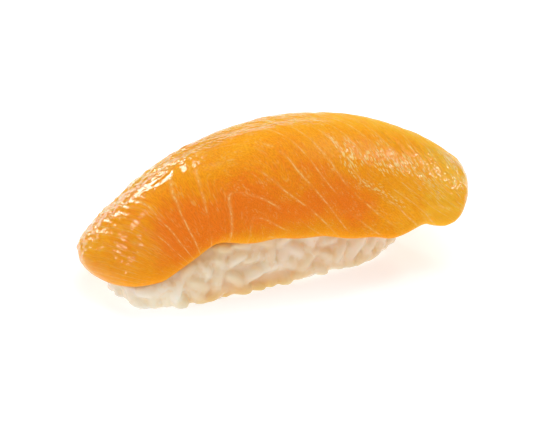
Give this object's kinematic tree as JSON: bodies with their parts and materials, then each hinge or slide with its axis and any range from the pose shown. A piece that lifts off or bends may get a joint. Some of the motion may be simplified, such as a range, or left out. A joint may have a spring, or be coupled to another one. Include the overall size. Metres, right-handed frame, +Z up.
{
  "type": "salmon nigiri",
  "caption": "Hand-pressed oblong of cooked rice with a thick slice of raw salmon laid askew over it and drooping past both ends.",
  "frame": {"origin": "middle of the whole piece's footprint, on the surface it stands on", "axes": "+Z up, +X along the rice block and the slice, -Y the long side that faces the viewer"},
  "size_m": [0.0826, 0.042, 0.0308],
  "materials": {
    "rice": "moist translucent cooked grains, cream white",
    "salmon": "wet raw flesh, orange with thin paler fat lines"
  },
  "bodies": {
    "root": {"rice": "rice", "salmon": "salmon"}
  },
  "joints": []
}
